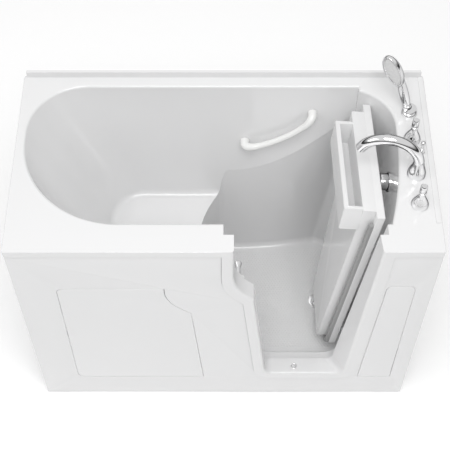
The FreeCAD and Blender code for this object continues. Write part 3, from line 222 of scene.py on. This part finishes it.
def copyOf(node, name):
    # a copy of a CAD node's mesh, with the corners of its faces joined
    piece = linked(name, nodes[node].data.copy())
    bpy.ops.mesh.customdata_custom_splitnormals_clear()
    bpy.ops.object.mode_set(mode="EDIT")
    bpy.ops.mesh.select_all(action="SELECT")
    bpy.ops.mesh.remove_doubles(threshold=meshing["mergeWithin"])
    bpy.ops.mesh.dissolve_limited(angle_limit=math.radians(meshing["flatAngle"]))
    bpy.ops.object.mode_set(mode="OBJECT")
    return piece


def soften(piece, width, segments):
    bevel = piece.modifiers.new("soften", "BEVEL")
    bevel.width = width
    bevel.segments = segments
    bevel.limit_method = "ANGLE"
    bevel.angle_limit = math.radians(meshing["bevelAngle"])
    applyModifiers(piece)
    return piece


def flowing(points, steps):
    # a smooth line through points of any size, as a list of points
    line = []
    for i in range(len(points) - 1):
        a, b = Vector(points[max(i - 1, 0)]), Vector(points[i])
        c, d = Vector(points[i + 1]), Vector(points[min(i + 2, len(points) - 1)])
        for k in range(steps):
            t = k / steps
            line.append(0.5 * (2 * b + (c - a) * t + (2 * a - 5 * b + 4 * c - d) * t ** 2
                               + (3 * b - a - 3 * c + d) * t ** 3))
    return line + [Vector(points[-1])]


def turned(name, profile, place, steps=72):
    # a round piece: half its outline, as radius and height in millimetres, is drawn point by point and turned
    rim = [Vector((r / 1000, 0, h / 1000)) for r, h in profile]
    bpy.ops.object.select_all(action="DESELECT")
    bpy.ops.mesh.primitive_plane_add(size=0.001)
    piece = bpy.context.object
    piece.name = name
    bpy.ops.object.mode_set(mode="EDIT")
    bpy.ops.mesh.select_mode(type="VERT")
    bpy.ops.mesh.select_all(action="SELECT")
    bpy.ops.mesh.merge(type="CENTER")  # leaves one point to draw from
    bpy.ops.transform.translate(value=rim[0])
    for last, point in zip(rim, rim[1:]):
        bpy.ops.mesh.extrude_region_move(TRANSFORM_OT_translate={"value": point - last})
    bpy.ops.object.mode_set(mode="OBJECT")
    turn = piece.modifiers.new("turn", "SCREW")
    turn.steps = steps
    turn.render_steps = steps
    turn.use_merge_vertices = True
    turn.merge_threshold = meshing["turnMerge"]
    applyModifiers(piece)
    bpy.ops.object.mode_set(mode="EDIT")
    bpy.ops.mesh.select_all(action="SELECT")
    bpy.ops.mesh.normals_make_consistent(inside=False)
    bpy.ops.object.mode_set(mode="OBJECT")
    piece.location = [c / 1000 for c in place]
    return piece


def copiesAt(piece, places):
    # the piece at the first place, and a copy with its own mesh at each of the others, in millimetres
    pieces = [piece]
    for _ in places[1:]:
        copy = piece.copy()
        copy.data = piece.data.copy()
        bpy.context.collection.objects.link(copy)
        pieces.append(copy)
    for copy, place in zip(pieces, places):
        copy.location = [c / 1000 for c in place]
    return pieces


def tubeAlong(name, stations, resolution, roundness):
    # a tube through stations of place and radius in millimetres, its width changing smoothly
    curve = bpy.data.curves.new(name, "CURVE")
    curve.dimensions = "3D"
    curve.resolution_u = resolution
    curve.bevel_depth = 0.001  # a millimetre, times the radius at each station
    curve.bevel_resolution = roundness
    curve.use_fill_caps = True
    spline = curve.splines.new("BEZIER")
    spline.bezier_points.add(len(stations) - 1)
    spline.radius_interpolation = "CARDINAL"
    for point, (place, radius) in zip(spline.bezier_points, stations):
        point.co = [c / 1000 for c in place]
        point.radius = radius
        point.handle_left_type = "AUTO"
        point.handle_right_type = "AUTO"
    piece = linked(name, curve)
    bpy.ops.object.convert(target="MESH")
    return bpy.context.object


def melted(piece, voxel, rounds):
    # joins what overlaps in a piece and smooths it as one moulding
    join = piece.modifiers.new("join", "REMESH")
    join.mode = "VOXEL"
    join.voxel_size = voxel
    smooth = piece.modifiers.new("smooth", "SMOOTH")
    smooth.factor = meshing["smoothShare"]
    smooth.iterations = rounds
    applyModifiers(piece)
    return piece


def joined(name, pieces):
    bpy.ops.object.select_all(action="DESELECT")
    for piece in pieces:
        piece.select_set(True)
    bpy.context.view_layer.objects.active = pieces[0]
    bpy.ops.object.transform_apply(location=True, rotation=True, scale=True)
    bpy.ops.object.join()
    pieces[0].name = name
    return pieces[0]


# mouldings and tubes with softened edges

softEdges = {
    "front_apron": dict(width=0.0025, segments=3), "left_access_panel": dict(width=0.0013, segments=3),
    "right_access_panel": dict(width=0.0013, segments=3), "door_plug": dict(width=0.003, segments=4),
    "door_flange": dict(width=0.0025, segments=3), "overflow_knob": dict(width=0.0025, segments=3),
    "latch_knob": dict(width=0.0015, segments=3), "latch_cam": dict(width=0.0012, segments=3),
    "drain_stopper": dict(width=0.0012, segments=3), "drain_flange": dict(width=0.001, segments=3)}
tubeEdge = dict(width=0.003, segments=3)
slotOf = {part["node"]: part["material_slot"] for part in frame["record"]["subparts"]}
bodyOf = {node: body for body, held in frame["record"]["behaviour"]["bodies"].items() for node in held}
for node in nodes:
    if slotOf[node] == "frame_steel":
        softEdges[node] = tubeEdge
for node, edge in softEdges.items():
    piece = soften(copyOf(node, node + "_soft"), edge["width"], edge["segments"])
    settle(piece, bodyOf[node], slotOf[node], node)
print("softened:", len(softEdges))


# floor of the foot well: a field of low grips

wellGrips = dict(floor=0.092, pitch=0.011, radius=0.0032, height=0.0009, reach=(-0.09, 0.46, -0.24, 0.25),
                 edge=0.012, aroundDrain=0.046, sides=10, rings=8, rowShare=0.866,
                 castFrom=0.03, castDown=0.05, levelWithin=0.0002, flatness=0.999)


def gripField(look):
    shell = nodes["tub_shell"]
    low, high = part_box("drain_flange")
    drain = Vector(((low[0] + high[0]) / 2, (low[1] + high[1]) / 2))
    bpy.ops.object.select_all(action="DESELECT")
    bpy.ops.mesh.primitive_uv_sphere_add(segments=look["sides"], ring_count=look["rings"],
                                         radius=look["radius"])
    dome = bpy.context.object
    bpy.ops.object.mode_set(mode="EDIT")
    bpy.ops.mesh.select_all(action="SELECT")
    bpy.ops.mesh.bisect(plane_co=(0, 0, 0), plane_no=(0, 0, 1), clear_inner=True)
    bpy.ops.object.mode_set(mode="OBJECT")
    dome.scale.z = look["height"] / look["radius"]
    bpy.ops.object.transform_apply(location=False, rotation=False, scale=True)

    def onFloor(x, y):
        for dx, dy in ((0, 0), (1, 0), (-1, 0), (0, 1), (0, -1)):
            start = (x + dx * look["edge"], y + dy * look["edge"], look["floor"] + look["castFrom"])
            hit, place, normal, face = shell.ray_cast(start, (0, 0, -1), distance=look["castDown"])
            if not hit or normal.z < look["flatness"] or abs(place.z - look["floor"]) > look["levelWithin"]:
                return False
        return (Vector((x, y)) - drain).length > look["aroundDrain"]

    left, right, front, back = look["reach"]
    points, faces, row, y = [], [], 0, front
    while y < back:
        x = left + (row % 2) * look["pitch"] / 2
        while x < right:
            if onFloor(x, y):
                first = len(points)
                points += [v.co + Vector((x, y, look["floor"])) for v in dome.data.vertices]
                faces += [[first + i for i in face.vertices] for face in dome.data.polygons]
            x += look["pitch"]
        y += look["pitch"] * look["rowShare"]
        row += 1
    mesh = bpy.data.meshes.new("wellGrips")
    mesh.from_pydata(points, [], faces)
    bpy.data.objects.remove(dome)
    return linked("wellGrips", mesh)


settle(gripField(wellGrips), "tub", "gelcoat")
print("well grips laid")


# grab bar with flared ends that run out on the wall

grabBar = dict(stations=[
    ((74, 272.5, 761), 17.0), ((74, 264, 761), 16.0), ((75, 251, 760.5), 15.0), ((94, 239.5, 765), 13.4),
    ((129, 240.6, 773.3), 11.3), ((202.7, 245.5, 805.8), 11.0), ((267, 250.4, 855), 11.3),
    ((290, 254, 879.5), 13.4), ((302.5, 266, 895), 15.0), ((304, 280, 897), 16.0), ((304, 289, 897), 17.0)],
    resolution=10, roundness=10, voxel=0.0016, rounds=8)
bar = tubeAlong("grabBar", grabBar["stations"], grabBar["resolution"], grabBar["roundness"])
bar = melted(bar, grabBar["voxel"], grabBar["rounds"])
settle(bar, "tub", "grab_white", "grab_bar")
print("grab bar shaped")


# tap handles: a bell, a ring and a cap

tapHandle = dict(
    bell=[(27, 0.4), (27, 3.5), (26, 8), (22.5, 18), (17.5, 29), (13, 40), (10.3, 50), (9.4, 58)],
    bellSteps=5,
    cap=[(9.4, 60), (11.4, 61), (12, 62.5), (12, 64.5), (11.4, 66), (9.6, 67), (9.6, 69), (10.6, 71),
         (11, 74), (11, 92), (10.4, 96), (8.5, 98.8), (5, 99.8), (0, 100)],
    foot=(0, 0.4), places=dict(hot=(609, 80, 1016), cold=(609, -176, 1016)))
for side, place in tapHandle["places"].items():
    bell = [tuple(p) for p in flowing(tapHandle["bell"], tapHandle["bellSteps"])]
    handle = turned(side + "Handle", [tapHandle["foot"]] + bell + tapHandle["cap"], place)
    settle(handle, side + "_tap", "chrome", side + "_handle")
print("handles turned")


# hand shower: one smooth body, and a face with rings of nozzles

handShower = dict(
    centre=(539.239, 217.696, 1190.354), along=(-0.3819083, 0.1330531, 0.9145725),
    across=(-0.7527071, 0.5294216, -0.3913372), out=(-0.5362631, -0.8378602, -0.1020405),
    voxel=0.0011, rounds=14, half=(58.0, 25.0), faceFrom=6.0, faceRise=1.6, faceSides=64, faceRings=24,
    nozzle=[(1.6, -0.5), (1.44, 1.05), (0.96, 1.5), (0.64, 0.9), (0, 0.9)], nozzleSteps=10,
    rings=[(0.2, 5), (0.48, 12), (0.76, 20)])


def showerFace(look):
    bpy.ops.object.select_all(action="DESELECT")
    bpy.ops.mesh.primitive_uv_sphere_add(segments=look["faceSides"], ring_count=look["faceRings"],
                                         radius=1.0)
    face = bpy.context.object
    bpy.ops.object.mode_set(mode="EDIT")
    bpy.ops.mesh.select_all(action="SELECT")
    bpy.ops.mesh.bisect(plane_co=(0, 0, 0), plane_no=(0, 0, 1), clear_inner=True, use_fill=True)
    bpy.ops.object.mode_set(mode="OBJECT")
    face.scale = (look["half"][0] / 1000, look["half"][1] / 1000, look["faceRise"] / 1000)
    places = []
    for share, count in look["rings"]:
        rise = look["faceRise"] * math.sqrt(1 - share ** 2)
        for k in range(count):
            turn = 2 * math.pi * (k + 0.5) / count
            x, y = share * look["half"][0] * math.cos(turn), share * look["half"][1] * math.sin(turn)
            places.append((x, y, rise))
    nozzle = turned("nozzle", look["nozzle"], places[0], look["nozzleSteps"])
    face = joined("showerFace", [face] + copiesAt(nozzle, places))
    turn = Matrix((look["along"], look["across"], look["out"])).transposed().to_4x4()
    lift = Vector(look["out"]) * look["faceFrom"]
    face.matrix_world = Matrix.Translation((Vector(look["centre"]) + lift) / 1000) @ turn
    return face


body = melted(copyOf("hand_shower", "showerBody"), handShower["voxel"], handShower["rounds"])
settle(body, "shower", "chrome", "hand_shower")
settle(showerFace(handShower), "shower", "shower_white", "shower_face")
print("hand shower shaped")


# button of the sill drain: a ring round a domed cap

sillButton = dict(
    profile=[(0, -20), (8, -20), (8, 0), (11.5, 0.1), (11.5, 0.9), (10.8, 1.7), (9.6, 2.0), (8.4, 1.5),
             (8.0, 0.6), (7.6, 0.6), (7.2, 1.4), (5.5, 1.85), (3, 2.0), (0, 2.0)], place=(258, -320, 167))
settle(turned("sillButton", sillButton["profile"], sillButton["place"]), "tub", "chrome", "sill_drain")


# levelling feet with threaded studs

levelFoot = dict(
    places=[(-593, -330, 0), (-593, 327, 0), (100, -330, 0), (100, 327, 0), (593, -330, 0), (593, 327, 0)],
    pad=[(0, 0), (13, 0), (14, 1), (14, 9), (12.5, 11.5), (7, 12)], threadFrom=13.0, top=54, steps=32,
    pitch=1.75, root=5.1, crest=6.0, crestSpan=(0.45, 0.55))


def threadedFoot(look):
    profile, height = list(look["pad"]), look["threadFrom"]
    while height + look["pitch"] < look["top"]:
        profile.append((look["root"], height))
        profile += [(look["crest"], height + look["pitch"] * share) for share in look["crestSpan"]]
        height += look["pitch"]
    profile += [(look["root"], look["top"]), (0, look["top"])]
    return turned("foot", profile, look["places"][0], look["steps"])


feet = joined("levellingFeet", copiesAt(threadedFoot(levelFoot), levelFoot["places"]))
settle(feet, "tub", "zinc_steel", "levelling_feet")
print("drain button and feet turned")


# floor, light and camera

studio = dict(
    floorSize=30.0, floorTone=(0.96, 0.96, 0.96), floorRoughness=0.9, floorGlow=0.14,
    worldLight=0.70, bandTone=0.06, bandTop=(0.10, 0.40),
    keyPlace=(0.2, -1.7, 4.4), keyAim=(0, 0, 0.6), keySize=2.0, keyPower=74.0,
    sidePlace=(-3.0, -1.0, 3.4), sideAim=(0.2, 0, 0.7), sideSize=2.4, sidePower=19.0,
    cameraPlace=(0.0040, -2.046, 3.7556), cameraTilt=33.21, cameraLens=85.43, cameraSensor=36)


def softLight(name, place, size, power, target):
    bpy.ops.object.select_all(action="DESELECT")
    bpy.ops.object.light_add(type="AREA", location=place)
    light = bpy.context.object
    light.name = name
    light.data.size = size
    light.data.energy = power
    light.rotation_euler = (Vector(target) - Vector(place)).to_track_quat("-Z", "Y").to_euler()
    return light


def setStudio(look):
    bpy.ops.object.select_all(action="DESELECT")
    bpy.ops.mesh.primitive_plane_add(size=look["floorSize"], location=(0, 0, 0))
    floor = bpy.context.object
    floor.name = "studioFloor"
    paper = bpy.data.materials.new("floorPaper")
    paper.use_nodes = True
    shader = paper.node_tree.nodes["Principled BSDF"]
    shader.inputs["Base Color"].default_value = (*look["floorTone"], 1)
    shader.inputs["Roughness"].default_value = look["floorRoughness"]
    shader.inputs["Emission Color"].default_value = (1, 1, 1, 1)
    shader.inputs["Emission Strength"].default_value = look["floorGlow"]
    floor.data.materials.append(paper)
    world = bpy.data.worlds.new("studioWorld")
    world.use_nodes = True
    tree, links = world.node_tree.nodes, world.node_tree.links
    coord = tree.new("ShaderNodeTexCoord")
    height = tree.new("ShaderNodeSeparateXYZ")
    ramp = tree.new("ShaderNodeValToRGB")
    ramp.color_ramp.elements[0].position = look["bandTop"][0]
    ramp.color_ramp.elements[0].color = (*(look["bandTone"],) * 3, 1)
    ramp.color_ramp.elements[1].position = look["bandTop"][1]
    links.new(coord.outputs["Generated"], height.inputs["Vector"])
    links.new(height.outputs["Z"], ramp.inputs["Fac"])
    links.new(ramp.outputs["Color"], tree["Background"].inputs["Color"])
    tree["Background"].inputs["Strength"].default_value = look["worldLight"]
    bpy.context.scene.world = world
    bpy.context.scene.view_settings.view_transform = "Standard"
    softLight("keyLight", look["keyPlace"], look["keySize"], look["keyPower"], look["keyAim"])
    softLight("sideLight", look["sidePlace"], look["sideSize"], look["sidePower"], look["sideAim"])
    bpy.ops.object.camera_add(location=look["cameraPlace"],
                              rotation=(math.radians(look["cameraTilt"]), 0, 0))
    camera = bpy.context.object
    camera.data.sensor_width = look["cameraSensor"]
    camera.data.lens = look["cameraLens"]
    bpy.context.scene.camera = camera


setStudio(studio)
print("studio set")
